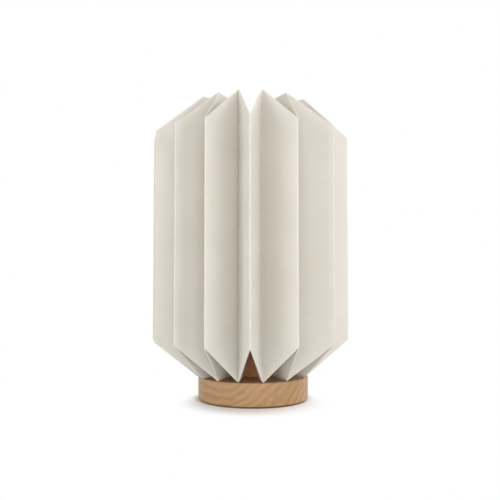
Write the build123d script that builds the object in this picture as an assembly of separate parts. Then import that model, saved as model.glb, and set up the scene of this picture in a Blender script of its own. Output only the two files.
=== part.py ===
from build123d import *
import math
import os

# Pleated paper table lamp. Sizes are in millimetres. The origin is the middle of the foot's
# underside, +Z is up and the front of the lamp faces -Y.

# Base: a turned disc over a thin pad
disc_radius = 55.1
disc_thickness = 22.0
disc_bevel = 0.9
pad_thickness = 1.5
pad_inset = 1.6            # the pad stays this far inside the disc's edge
recess_radius = 32.0       # hollow in the underside for the nut and the cord
recess_depth = 12.0

# Post: a turned stem, and the tube that pulls base, stem and lamp holder together
stem_radius = 12.0
stem_height = 32.0         # what stands above the disc
stem_socket = 2.0          # how deep the stem sits in the disc
tube_radius = 4.95
tube_wall = 1.0
tube_tail = 5.0            # tube below the washer
tube_head = 7.5            # tube inside the lamp holder
nut_across_flats = 14.0
nut_thickness = 3.0
washer_radius = 10.0
washer_thickness = 1.5

# Cord outlet at the rear of the disc
outlet_height = 8.5
bush_radius = 4.5
bush_bore = 3.2
bush_length = 20.0
bush_flange_radius = 6.0
bush_flange = 1.7
spot_face_depth = 1.0

# Lamp holder for a small screw cap, in two shells of one diameter
holder_radius = 14.0
holder_wall = 1.6
cap_height = 20.0
cap_floor = 4.0
cap_foot_radius = 10.0     # flat underside that stands on the stem
cap_shoulder = 5.5         # height of the round shoulder above it
ledge_depth = 8.5          # from the cap's rim down to the contact block's ledge
ledge_width = 1.4
barrel_length = 36.0
spigot_depth = 4.0
spigot_wall = 1.5
block_boss = 5.5           # contact block above its disc
shell_length = 26.0
shell_wall = 0.35
thread_radius = 6.945      # outside of the bulb's screw cap
contact_width = 4.0
contact_strip = 0.4
contact_rise = 6.0
terminal_size = 3.6
terminal_length = 6.0
terminal_height = 5.0
terminal_gap = 0.7         # between the tube and each terminal
terminal_screw_radius = 1.2
terminal_head_radius = 1.6
terminal_head_height = 1.4

# Rings on the lamp holder that clamp the shade's fitter
hub_wall = 2.6
flange_width = 7.5         # flange beyond the holder's barrel
flange_thickness = 1.6
hub_length = 6.2
seat_drop = 19.5           # from the barrel's mouth down to the fitter's seat
grip_count = 24            # flats round the hub for the fingers

# Bulb
bulb_radius = 12.5
bulb_wall = 1.2
bulb_length = 56.0         # opal envelope
bulb_end_round = 4.0
collar_length = 20.0
collar_flare = 4.0         # height over which the collar widens, above the holder's mouth
cap_shell_wall = 0.4
cap_shell_length = 18.5
insulator_length = 2.6
tip_radius = 2.6
tip_height = 1.6
board_radius = 10.6        # out to the corners of the eight-sided board
board_thickness = 1.6

# Shade: two folded sheets of stiff paper in a ring of upright pleats
paper = 0.5
pleat_depth = 43.4         # from the inner folds out to the outer folds
tip_inset = 0.5            # the inner folds stand this far inside the disc's edge
shade_length = 276.2       # along an inner fold
bottom_rise = 35.1         # how much higher an outer fold starts than an inner fold
top_drop = 37.4            # how much lower it ends
shade_shift = -3.0         # the shade is clamped a little to the left of the base
front_fold_angles = (-88.5, -69.0, -44.5, -24.0, 0.0, 25.5, 52.5, 85.5)  # outer folds, in degrees
rear_fold_angles = (118.5, 147.5, 175.0, -157.5, -130.5, -109.5)
seam_start = 1.0           # raw edge of a sheet, from the fold beside it
seam_stop = 2.5            # glued flap, short of the fold ahead of it
glue = 0.05

# Wire frame inside the shade
wire_radius = 1.25
upper_ring_drop = 45.0     # below the shade's top
lower_ring_drop = 12.0     # below the fitter
arm_count = 3
arm_flat = 7.0             # level stretch of an arm beside the fitter
fitter_play = 3.5          # the fitter's hole is this much wider than the holder, all round
fitter_width = 10.5
fitter_thickness = 1.2

# How many flat cuts stand for a round: the bulb's end and the holder's shoulder, the wire, and
# the runs that a ring of it is bent in
shoulder_cuts = 3
wire_sides = 6
ring_runs = 48

# Clearances
thread_clearance = 0.055
wood_clearance = 0.1
slide_clearance = 0.1
rest_clearance = 0.3

# Levels worked out from the sizes above
hub_radius = holder_radius + hub_wall
flange_radius = holder_radius + flange_width
fitter_hole_radius = holder_radius + fitter_play
fitter_radius = fitter_hole_radius + fitter_width
disc_bottom = pad_thickness
disc_top = disc_bottom + disc_thickness
recess_top = disc_bottom + recess_depth
stem_top = disc_top + stem_height
cap_top = stem_top + cap_height
ledge_level = cap_top - ledge_depth
spigot_bottom = cap_top - spigot_depth
barrel_top = cap_top + barrel_length
boss_top = spigot_bottom + block_boss
shell_top = boss_top + shell_length
contact_top = boss_top + contact_rise
seat_level = barrel_top - seat_drop
fitter_top = seat_level + fitter_thickness
tip_bottom = contact_top + rest_clearance
insulator_bottom = tip_bottom + tip_height
cap_shell_bottom = insulator_bottom + insulator_length
collar_bottom = cap_shell_bottom + cap_shell_length
collar_top = collar_bottom + collar_length
bulb_top = collar_top + bulb_length
shade_bottom = disc_top + rest_clearance
shade_top = shade_bottom + shade_length
upper_ring_level = shade_top - upper_ring_drop
lower_ring_level = seat_level - lower_ring_drop
shade_axis = Pos(shade_shift, 0, 0)


def turned(*outline):
    # a closed outline of (radius, height) points, turned about the lamp's axis
    return revolve(Plane.XZ * make_face(Polyline(*outline, close=True)), Axis.Z)


def sleeve(outer, inner, bottom, top):
    return turned((inner, bottom), (outer, bottom), (outer, top), (inner, top))


def quarter_turn():
    # angles from 0 to 90 degrees, where a round shoulder is turned as a few straight cuts
    return [math.pi / 2 * i / shoulder_cuts for i in range(shoulder_cuts + 1)]


def rod_along_y(radius, x, y_start, y_end, z):
    return extrude(Plane((x, y_start, z), z_dir=(0, 1, 0)) * Circle(radius), y_end - y_start)


# Base

def foot_pad():
    return Pos(0, 0, pad_thickness / 2) * Cylinder(disc_radius - pad_inset, pad_thickness)


def base_disc():
    disc = Pos(0, 0, disc_bottom + disc_thickness / 2) * Cylinder(disc_radius, disc_thickness)
    disc = chamfer(disc.edges().filter_by(GeomType.CIRCLE), disc_bevel)
    disc -= Pos(0, 0, disc_bottom + recess_depth / 2) * Cylinder(recess_radius, recess_depth)
    disc -= Pos(0, 0, disc_top - stem_socket / 2) * Cylinder(stem_radius + wood_clearance, stem_socket)
    disc -= Pos(0, 0, disc_top - disc_thickness / 2) * Cylinder(tube_radius + wood_clearance, disc_thickness)
    disc -= rod_along_y(bush_radius + wood_clearance, 0, 0, disc_radius, outlet_height)
    spot_face = disc_radius - spot_face_depth
    disc -= rod_along_y(bush_flange_radius + rest_clearance, 0, spot_face, disc_radius, outlet_height)
    return disc


def cord_bush():
    face = disc_radius - spot_face_depth
    sleeve_part = rod_along_y(bush_radius, 0, face - bush_length, face, outlet_height)
    flange = rod_along_y(bush_flange_radius, 0, face, face + bush_flange, outlet_height)
    bore = rod_along_y(bush_bore, 0, face - bush_length, face + bush_flange, outlet_height)
    return sleeve_part + flange - bore


# Post

def stem():
    return sleeve(stem_radius, tube_radius + wood_clearance, disc_top - stem_socket, stem_top)


def threaded_tube():
    return sleeve(tube_radius, tube_radius - tube_wall, recess_top - washer_thickness - tube_tail,
                  stem_top + tube_head)


def tube_washer():
    return sleeve(washer_radius, tube_radius + wood_clearance, recess_top - washer_thickness, recess_top)


def tube_nut():
    top = recess_top - washer_thickness
    hexagon = RegularPolygon(nut_across_flats / 2, 6, major_radius=False)
    hexagon -= Circle(tube_radius + thread_clearance)
    return extrude(Pos(0, 0, top - nut_thickness) * hexagon, nut_thickness)


# Lamp holder

def holder_cap():
    inside = holder_radius - holder_wall
    bowl = inside - ledge_width
    floor_top = stem_top + cap_floor
    bore = tube_radius + thread_clearance
    shoulder = [(cap_foot_radius + (holder_radius - cap_foot_radius) * math.sin(turn),
                 stem_top + cap_shoulder * (1 - math.cos(turn))) for turn in quarter_turn()]
    return turned(
        (bore, stem_top), *shoulder, (holder_radius, cap_top), (inside, cap_top), (inside, ledge_level),
        (bowl, ledge_level), (bowl, floor_top), (bore, floor_top),
    )


def holder_barrel():
    bore = holder_radius - holder_wall
    spigot = bore - thread_clearance
    lip = bore - spigot_wall
    lip_top = cap_top + spigot_wall
    return turned(
        (lip, spigot_bottom), (spigot, spigot_bottom), (spigot, cap_top), (holder_radius, cap_top),
        (holder_radius, barrel_top), (bore, barrel_top), (bore, lip_top), (lip, lip_top),
    )


def contact_block():
    rim = holder_radius - holder_wall - thread_clearance
    boss = thread_radius + thread_clearance + shell_wall
    return turned((0, ledge_level), (rim, ledge_level), (rim, spigot_bottom), (boss, spigot_bottom),
                  (boss, boss_top), (0, boss_top))


def screw_shell():
    inside = thread_radius + thread_clearance
    return sleeve(inside + shell_wall, inside, boss_top, shell_top)


def centre_contact():
    # a strip that lies on the block, turns back and springs up under the bulb's tip
    reach = thread_radius * 0.6
    low = boss_top + contact_strip / 2
    high = contact_top - contact_strip / 2
    strip = trace(Polyline((-reach, low), (reach / 2, low), (reach, low + contact_rise / 3),
                           (reach / 3, high), (-reach / 2, high)), contact_strip)
    return extrude(Plane.XZ * strip, contact_width / 2, both=True)


def terminal_places():
    x = tube_radius + terminal_gap + terminal_size / 2
    return (-x, x)


def terminals():
    z = ledge_level - terminal_height / 2
    blocks = []
    for x in terminal_places():
        block = Pos(x, 0, z) * Box(terminal_size, terminal_length, terminal_height)
        blocks.append(block - rod_along_y(terminal_screw_radius, x, -terminal_length / 2, 0, z))
    return Compound(children=blocks)


def terminal_screws():
    z = ledge_level - terminal_height / 2
    face = -terminal_length / 2
    screws = []
    for x in terminal_places():
        screw = rod_along_y(terminal_head_radius, x, face - terminal_head_height, face, z)
        screw += rod_along_y(terminal_screw_radius, x, face, 0, z)
        slot = Box(terminal_head_radius * 2, contact_strip, contact_strip * 2)
        screws.append(screw - Pos(x, face - terminal_head_height, z) * slot)
    return Compound(children=screws)


# Rings that clamp the fitter

def ring_nut(bore, flange_bottom, hub_bottom):
    # a wide flange, and a hub of many flats that the fingers turn
    hub = extrude(Pos(0, 0, hub_bottom) * (RegularPolygon(hub_radius, grip_count) - Circle(bore)), hub_length)
    return hub + sleeve(flange_radius, bore, flange_bottom, flange_bottom + flange_thickness)


def shade_seat():
    # the lower ring nut, flange up, that the fitter rests on
    flange_bottom = seat_level - flange_thickness
    return ring_nut(holder_radius + thread_clearance, flange_bottom, flange_bottom - hub_length)


def shade_nut():
    # the upper ring nut, flange down, that clamps it
    return ring_nut(holder_radius + slide_clearance, fitter_top, fitter_top + flange_thickness)


# Bulb

def bulb_tip():
    return turned((0, tip_bottom), (tip_radius / 2, tip_bottom), (tip_radius, insulator_bottom),
                  (0, insulator_bottom))


def bulb_insulator():
    return turned((0, insulator_bottom), (tip_radius, insulator_bottom),
                  (thread_radius - cap_shell_wall, cap_shell_bottom), (0, cap_shell_bottom))


def bulb_cap():
    return sleeve(thread_radius, thread_radius - 2 * cap_shell_wall, cap_shell_bottom, collar_bottom)


def bulb_collar():
    # fills the screw cap, rises through the holder's mouth and widens to the envelope
    plug = thread_radius - 2 * cap_shell_wall
    neck = thread_radius + cap_shell_wall
    return turned(
        (0, cap_shell_bottom), (plug, cap_shell_bottom), (plug, collar_bottom), (neck, collar_bottom),
        (neck, barrel_top), (bulb_radius, barrel_top + collar_flare), (bulb_radius, collar_top), (0, collar_top),
    )


def bulb_envelope():
    inside = bulb_radius - bulb_wall
    ceiling = bulb_top - bulb_wall
    bevel = bulb_end_round - bulb_wall
    shoulder = [(bulb_radius - bulb_end_round * (1 - math.cos(turn)),
                 bulb_top - bulb_end_round * (1 - math.sin(turn))) for turn in quarter_turn()]
    return turned(
        (bulb_radius, collar_top), *shoulder, (0, bulb_top), (0, ceiling), (inside - bevel, ceiling),
        (inside, ceiling - bevel), (inside, collar_top),
    )


def led_board():
    return extrude(Pos(0, 0, collar_top) * RegularPolygon(board_radius, 8), board_thickness)


# Shade. Fold 0 is the front outer fold. Even folds are outer ones, odd folds inner ones.

fold_angles = front_fold_angles + rear_fold_angles
pleat_count = len(fold_angles)
inner_radius = disc_radius - tip_inset
outer_radius = inner_radius + pleat_depth
regular_half = math.pi / pleat_count
panel_width = math.sqrt(outer_radius ** 2 + inner_radius ** 2
                        - 2 * outer_radius * inner_radius * math.cos(regular_half))
front_index = fold_angles.index(0.0)
seam_folds = (pleat_count - 1, 2 * pleat_count - 1)   # the sheets meet at these inner folds


def outer_angle(number):
    # angle of outer fold `number`, counted round from the front one
    return math.radians(fold_angles[(number + front_index) % pleat_count])


def fold_point(index):
    # (x, y, bottom, top) of a fold; an inner fold is one panel away from both its neighbours
    if index % 2 == 0:
        angle, radius = outer_angle(index // 2), outer_radius
        low, high = shade_bottom + bottom_rise, shade_top - top_drop
    else:
        before, after = outer_angle(index // 2), outer_angle(index // 2 + 1)
        half = (after - before) % (2 * math.pi) / 2
        angle = before + half
        across = outer_radius * math.sin(half)
        radius = outer_radius * math.cos(half) - math.sqrt(panel_width ** 2 - across ** 2)
        low, high = shade_bottom, shade_top
    return (shade_shift + radius * math.sin(angle), -radius * math.cos(angle), low, high)


def between(start, end, distance):
    # a point `distance` along the panel from one fold to the next
    share = distance / math.dist(start[:2], end[:2])
    return tuple(a + (b - a) * share for a, b in zip(start, end))


def moved_in(start, end, distance):
    # the same panel, moved square to itself towards the inside of the shade
    length = math.dist(start[:2], end[:2])
    across = ((end[1] - start[1]) / length * -distance, (end[0] - start[0]) / length * distance)
    return [(p[0] + across[0], p[1] + across[1], p[2], p[3]) for p in (start, end)]


def corner(a, b, c, d):
    # where the panel a-b runs on to meet the panel c-d, in plan
    ux, uy, vx, vy = b[0] - a[0], b[1] - a[1], d[0] - c[0], d[1] - c[1]
    share = ((c[0] - a[0]) * vy - (c[1] - a[1]) * vx) / (ux * vy - uy * vx)
    return (a[0] + ux * share, a[1] + uy * share, b[2], b[3])


def side_points(path, distance):
    # the path's corners on one face of the paper, mitred at every fold
    panels = [moved_in(start, end, distance) for start, end in zip(path, path[1:])]
    points = [panels[0][0]]
    for before, after in zip(panels, panels[1:]):
        points.append(corner(*before, *after))
    return points + [panels[-1][1]]


def folded_sheet(path):
    # a sheet of paper of even thickness folded along a path of (x, y, bottom, top) folds
    outside, inside = side_points(path, -paper / 2), side_points(path, paper / 2)

    def low(p):
        return (p[0], p[1], p[2])

    def high(p):
        return (p[0], p[1], p[3])

    outlines = []
    for i in range(len(path) - 1):
        for side in (outside, inside):
            a, b = side[i], side[i + 1]
            outlines.append((low(a), low(b), high(b), high(a)))
        for end in (low, high):
            a, b, c, d = end(outside[i]), end(outside[i + 1]), end(inside[i + 1]), end(inside[i])
            outlines += [(a, b, c), (a, c, d)]
    for i in (0, -1):
        a, b = outside[i], inside[i]
        outlines.append((low(a), low(b), high(b), high(a)))
    return Solid(Shell([Face(Wire.make_polygon(outline, close=True)) for outline in outlines]))


def shade_sheet(first):
    # half the ring: it starts on the panel after inner fold `first`, over the other sheet's flap,
    # and ends in a flap that is glued behind the other sheet's first panel
    last = first + pleat_count
    path = [between(fold_point(first), fold_point(first + 1), seam_start)]
    path += [fold_point(index) for index in range(first + 1, last)]
    flap = moved_in(fold_point(last), fold_point(last + 1), paper + glue)
    path.append(corner(path[-1], fold_point(last), *flap))
    path.append(between(*flap, panel_width - seam_stop))
    return folded_sheet(path)


def shade_sheet_right():
    return shade_sheet(seam_folds[1])


def shade_sheet_left():
    return shade_sheet(seam_folds[0])


# Wire frame: the rings stand just inside the nearest inner fold

def ring_radius():
    reach = []
    for index in range(1, 2 * pleat_count, 2):
        x, y = fold_point(index)[:2]
        before, after = fold_point(index - 1), fold_point(index + 1)
        half_fold = math.asin(math.dist(before[:2], after[:2]) / 2 / panel_width)
        thickness = paper / 2
        if index in seam_folds:
            thickness += paper + glue
        reach.append(math.hypot(x - shade_shift, y) - thickness / math.sin(half_fold))
    return min(reach) - rest_clearance - wire_radius


def wire_section():
    return RegularPolygon(wire_radius, wire_sides)


def wire_ring(level):
    runs = RegularPolygon(ring_radius(), ring_runs).wire()
    start = Plane(runs @ 0, x_dir=(0, 0, 1), z_dir=runs % 0)
    return Pos(shade_shift, 0, level) * sweep(start * wire_section(), runs, transition=Transition.RIGHT)


def fitter_washer():
    return shade_axis * sleeve(fitter_radius, fitter_hole_radius, seat_level, fitter_top)


def fitter_arms():
    # wires welded flat side up under the fitter's rim, which slope down to the lower ring
    level = seat_level - wire_radius * math.cos(math.pi / wire_sides)
    start = fitter_radius - wire_radius * 2
    bend = start + arm_flat
    path = Polyline((start, level), (bend, level), (ring_radius(), lower_ring_level))
    section = Plane((start, 0, level), x_dir=(0, 1, 0), z_dir=(1, 0, 0)) * wire_section()
    arm = sweep(section, Plane.XZ * path, transition=Transition.RIGHT)
    arms = []
    for i in range(arm_count):
        turned_arm = shade_axis * Rot(0, 0, 90 + i * 360 / arm_count) * arm
        arms += (turned_arm - wire_ring(lower_ring_level) - fitter_washer()).solids()
    return Compound(children=arms)


pieces = {
    "foot_pad": foot_pad(),
    "base_disc": base_disc(),
    "cord_bush": cord_bush(),
    "stem": stem(),
    "threaded_tube": threaded_tube(),
    "tube_washer": tube_washer(),
    "tube_nut": tube_nut(),
    "holder_cap": holder_cap(),
    "holder_barrel": holder_barrel(),
    "contact_block": contact_block(),
    "screw_shell": screw_shell(),
    "centre_contact": centre_contact(),
    "terminals": terminals(),
    "terminal_screws": terminal_screws(),
    "shade_seat": shade_seat(),
    "shade_nut": shade_nut(),
    "bulb_tip": bulb_tip(),
    "bulb_insulator": bulb_insulator(),
    "bulb_cap": bulb_cap(),
    "bulb_collar": bulb_collar(),
    "bulb_envelope": bulb_envelope(),
    "led_board": led_board(),
    "shade_sheet_left": shade_sheet_left(),
    "shade_sheet_right": shade_sheet_right(),
    "upper_ring": wire_ring(upper_ring_level),
    "lower_ring": wire_ring(lower_ring_level),
    "fitter_washer": fitter_washer(),
    "fitter_arms": fitter_arms(),
}

os.makedirs("parts", exist_ok=True)
for name, piece in pieces.items():
    export_step(piece, f"parts/{name}.step")

print("levels: disc top", disc_top, "stem top", stem_top, "seat", seat_level, "barrel top", barrel_top)
print("bulb top", bulb_top, "shade", shade_bottom, "to", shade_top, "ring radius", round(ring_radius(), 2))
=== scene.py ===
import math
import random
from collections import namedtuple

import bmesh
import bpy
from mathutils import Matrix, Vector, noise


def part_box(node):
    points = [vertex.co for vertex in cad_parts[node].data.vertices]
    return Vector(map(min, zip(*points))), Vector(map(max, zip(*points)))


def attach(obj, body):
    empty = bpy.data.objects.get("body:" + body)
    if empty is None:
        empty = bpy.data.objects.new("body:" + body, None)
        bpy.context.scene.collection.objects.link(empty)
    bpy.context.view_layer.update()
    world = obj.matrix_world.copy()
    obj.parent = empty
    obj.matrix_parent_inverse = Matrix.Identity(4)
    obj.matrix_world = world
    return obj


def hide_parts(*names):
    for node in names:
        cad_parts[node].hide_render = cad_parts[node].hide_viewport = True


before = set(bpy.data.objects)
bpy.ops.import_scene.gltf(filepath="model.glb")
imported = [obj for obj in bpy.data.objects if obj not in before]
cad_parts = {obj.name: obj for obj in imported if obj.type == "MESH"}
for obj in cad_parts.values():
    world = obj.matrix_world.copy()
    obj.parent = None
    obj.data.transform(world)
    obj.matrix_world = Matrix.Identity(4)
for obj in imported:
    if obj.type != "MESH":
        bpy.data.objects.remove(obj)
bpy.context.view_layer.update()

mm = 0.001          # sizes below are in millimetres, meshes are in metres
close = 0.01        # sizes and places that differ by less than this count as the same
crisp, broken, rubbed, eased = 0.2, 0.3, 0.4, 0.5       # how far edges are rounded
scene = bpy.context.scene
print("frame loaded:", len(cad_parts), "nodes")


def linear(hexColour):
    # a colour as it is picked on screen, "#rrggbb", turned into the linear values that shaders take
    channels = [int(hexColour[i:i + 2], 16) / 255 for i in (1, 3, 5)]
    return tuple(c / 12.92 if c <= 0.04045 else ((c + 0.055) / 1.055) ** 2.4 for c in channels) + (1,)


def addNode(tree, kind, settings=None, links=None):
    # adds one node: lower-case settings are its properties, the rest and plain numbers are its sockets
    made = tree.nodes.new("ShaderNode" + kind)
    for key, value in (settings or {}).items():
        if key == "stops":
            ramp = made.color_ramp.elements
            while len(ramp) < len(value):
                ramp.new(0.5)
            for stop, (place, colour) in zip(ramp, value):
                stop.position, stop.color = place, linear(colour)
        elif isinstance(key, str) and key[0].islower():
            setattr(made, key, value)
        else:
            made.inputs[key].default_value = value
    for key, socket in (links or {}).items():
        tree.links.new(socket, made.inputs[key])
    return made


def grainOf(size):
    # the scale that gives a pattern this grain size in millimetres
    return 1 / (size * mm)


def newMaterial(name):
    # an empty material, its node tree, and the place on the object for patterns to follow
    made = bpy.data.materials.new(name)
    made.use_nodes = True
    tree = made.node_tree
    tree.nodes.clear()
    return made, tree, addNode(tree, "TexCoord").outputs["Object"]


def extent(node):
    # lowest and highest corner of a CAD node, in millimetres
    low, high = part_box(node)
    return [c / mm for c in low], [c / mm for c in high]


def turnedSize(node):
    # radius, bottom and top of a CAD node that is turned about the lamp's axis
    low, high = extent(node)
    return high[0], low[2], high[2]


def makePiece(name, points, faces, materials, edgeFaces=(), sharpAngle=35):
    # a mesh object from points in millimetres; edgeFaces take the second material
    mesh = bpy.data.meshes.new(name)
    mesh.from_pydata([Vector(p) * mm for p in points], [], faces)
    for made in materials:
        mesh.materials.append(made)
    for index in edgeFaces:
        mesh.polygons[index].material_index = 1
    work = bmesh.new()
    work.from_mesh(mesh)
    merged = 0.001 * mm     # points nearer to each other than this become one
    bmesh.ops.remove_doubles(work, verts=work.verts, dist=merged)
    bmesh.ops.dissolve_degenerate(work, edges=work.edges, dist=merged)
    bmesh.ops.recalc_face_normals(work, faces=work.faces)
    work.to_mesh(mesh)
    work.free()
    mesh.shade_smooth()
    mesh.set_sharp_from_angle(angle=math.radians(sharpAngle))
    piece = bpy.data.objects.new(name, mesh)
    scene.collection.objects.link(piece)
    return piece


def standFor(piece, body, slotName, *nodes):
    # the piece moves with a body and is seen in place of these CAD nodes
    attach(piece, body)
    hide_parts(*nodes)
    return piece


def swung(start, finish, share):
    # a flat direction, part of the way round from start to finish
    turn = math.atan2(start.x * finish.y - start.y * finish.x, start.dot(finish)) * share
    return Vector((start.x * math.cos(turn) - start.y * math.sin(turn),
                   start.x * math.sin(turn) + start.y * math.cos(turn)))


def roundedOutline(corners, steps=5):
    # corners are (radius, height, rounding); every corner becomes an arc of its own rounding
    mostOfRun = 0.49        # so that two arcs never meet on the straight run between them
    outline = []
    for index, (radius, height, rounding) in enumerate(corners):
        here = Vector((radius, height))
        back = Vector(corners[index - 1][:2]) - here
        ahead = Vector(corners[(index + 1) % len(corners)][:2]) - here
        if rounding == 0:
            outline.append(here)
            continue
        half = back.angle(ahead) / 2
        reach = min(rounding / math.tan(half), mostOfRun * back.length, mostOfRun * ahead.length)
        middle = (back.normalized() + ahead.normalized()).normalized()
        centre = here + middle * (reach / math.cos(half))
        start = here + back.normalized() * reach - centre
        finish = here + ahead.normalized() * reach - centre
        outline += [centre + swung(start, finish, step / steps) for step in range(steps + 1)]
    return outline


def turnedPiece(name, outline, materials, segments=96, shape=None, axis="Z", centre=(0, 0, 0)):
    # turns an outline of (radius, height) points; shape(radius, height, angle) may change the radius
    points, faces = [], []
    rows = len(outline)
    for step in range(segments):
        angle = 2 * math.pi * step / segments
        for radius, height in outline:
            if shape:
                radius = shape(radius, height, angle)
            across, along = radius * math.cos(angle), radius * math.sin(angle)
            local = (across, along, height) if axis == "Z" else (across, height, along)
            points.append([c + offset for c, offset in zip(local, centre)])
        for row in range(rows):
            ahead = (step + 1) % segments * rows
            faces.append((step * rows + row, step * rows + (row + 1) % rows,
                          ahead + (row + 1) % rows, ahead + row))
    return makePiece(name, points, faces, materials)


def threadShape(look, outside, bottom, top):
    # a rounded screw thread, cut into whatever part of an outline lies at the outside radius
    depth, pitch = look["threadDepth"], look["threadPitch"]
    start, stop = bottom + look["threadStart"], top - look["threadTopMargin"]

    def shape(radius, height, angle):
        if radius < outside - close or not start < height < stop:
            return radius
        turn = height / pitch - angle / (2 * math.pi)
        fade = min(1, (height - start) / pitch, (stop - height) / pitch)
        return radius - depth * fade * (0.5 - 0.5 * math.cos(2 * math.pi * turn))
    return shape


def finely(outline, step):
    # the same outline with its long straight runs divided, so that a thread has rows to bend
    divided = []
    for here, ahead in zip(outline, outline[1:] + outline[:1]):
        parts = max(1, round((ahead - here).length / step))
        divided += [here.lerp(ahead, part / parts) for part in range(parts)]
    return divided


def bentWire(name, path, radius, materials, sides):
    # a round wire along points in a plane that holds the Z axis
    points, faces = [], []
    for index, here in enumerate(path):
        along = (path[min(index + 1, len(path) - 1)] - path[max(index - 1, 0)]).normalized()
        level = along.cross(Vector((0, 0, 1))).normalized()
        upright = level.cross(along)
        for side in range(sides):
            turn = 2 * math.pi * side / sides
            points.append(here + (level * math.cos(turn) + upright * math.sin(turn)) * radius)
    for ring in range(len(path) - 1):
        for side in range(sides):
            after = (side + 1) % sides
            faces.append((ring * sides + side, ring * sides + after,
                          (ring + 1) * sides + after, (ring + 1) * sides + side))
    faces.append(tuple(range(sides)))
    faces.append(tuple((len(path) - 1) * sides + side for side in range(sides)))
    return makePiece(name, points, faces, materials)


cardLook = {
    "thin": "#f4f3eb",          # the pulp is a little uneven, so the ivory runs between two tones
    "thick": "#f8f7f1",
    "cloudSize": 35.0,
    "fibreSize": 1.2,           # real fibres are 0.05 mm wide, drawn coarser to show
    "toothDepth": 0.06,
    "through": "#e8c582",       # what light turns to on its way through
    "throughShare": 0.24,
    "cutThin": "#efe6d6",
    "cutThick": "#f6efe2",
    "layerSize": 0.8,           # real layers are a tenth of this, drawn coarser to show
}


def ivoryCard():
    # stiff card, dyed in the pulp and pressed: a matt pale ivory that lets a little warm light through
    made, tree, place = newMaterial("ivoryFoldingCard")
    cloud = addNode(tree, "TexNoise", {"Scale": grainOf(cardLook["cloudSize"]), "Detail": 3},
                    {"Vector": place})
    fibre = addNode(tree, "TexNoise", {"Scale": grainOf(cardLook["fibreSize"]), "Detail": 3,
                                       "Roughness": 0.6}, {"Vector": place})
    tint = addNode(tree, "ValToRGB", {"stops": [(0.3, cardLook["thin"]), (0.7, cardLook["thick"])]},
                   {"Fac": cloud.outputs["Fac"]})
    fleck = addNode(tree, "ValToRGB", {"stops": [(0.35, "#f7f5f2"), (0.6, "#ffffff")]},
                    {"Fac": fibre.outputs["Fac"]})
    colour = addNode(tree, "Mix", {"data_type": "RGBA", "blend_type": "MULTIPLY", 0: 0.5},
                     {6: tint.outputs["Color"], 7: fleck.outputs["Color"]})
    tooth = addNode(tree, "Bump", {"Strength": 0.1, "Distance": cardLook["toothDepth"] * mm},
                    {"Height": fibre.outputs["Fac"]})
    skin = addNode(tree, "BsdfPrincipled", {"Roughness": 0.72, "IOR": 1.45},
                   {"Base Color": colour.outputs[2], "Normal": tooth.outputs["Normal"]})
    through = addNode(tree, "BsdfTranslucent", {"Color": linear(cardLook["through"])},
                      {"Normal": tooth.outputs["Normal"]})
    mixed = addNode(tree, "MixShader", {0: cardLook["throughShare"]},
                    {1: skin.outputs["BSDF"], 2: through.outputs["BSDF"]})
    addNode(tree, "OutputMaterial", links={"Surface": mixed.outputs[0]})
    return made


def cutCard():
    # the same card where a blade has gone through it: open fibres, a touch paler and rougher
    made, tree, place = newMaterial("ivoryCardCutEdge")
    layers = addNode(tree, "TexNoise", {"Scale": grainOf(cardLook["layerSize"]), "Detail": 2},
                     {"Vector": place})
    tint = addNode(tree, "ValToRGB", {"stops": [(0.3, cardLook["cutThin"]), (0.7, cardLook["cutThick"])]},
                   {"Fac": layers.outputs["Fac"]})
    skin = addNode(tree, "BsdfPrincipled", {"Roughness": 0.9, "IOR": 1.45},
                   {"Base Color": tint.outputs["Color"]})
    addNode(tree, "OutputMaterial", links={"Surface": skin.outputs["BSDF"]})
    return made


beechLook = {
    "grainDrift": 0.06,         # the grain runs along Y and drifts off it by this share
    "ringWidth": 6.8,
    "ringWander": 19.0,         # how far the rings wander off true circles round the pith
    "wanderSize": 27.0,
    "fadeSize": 17.0,           # over this stretch rings grow faint and strong again
    "ringRange": 0.85,          # a smaller range gives stronger rings
    "patchSize": 26.0,
    "rayWidth": 1.1,            # real rays are 0.3 mm wide, drawn coarser to show
    "rayStretch": 0.18,
    "poreDepth": 0.06,
}


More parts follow.
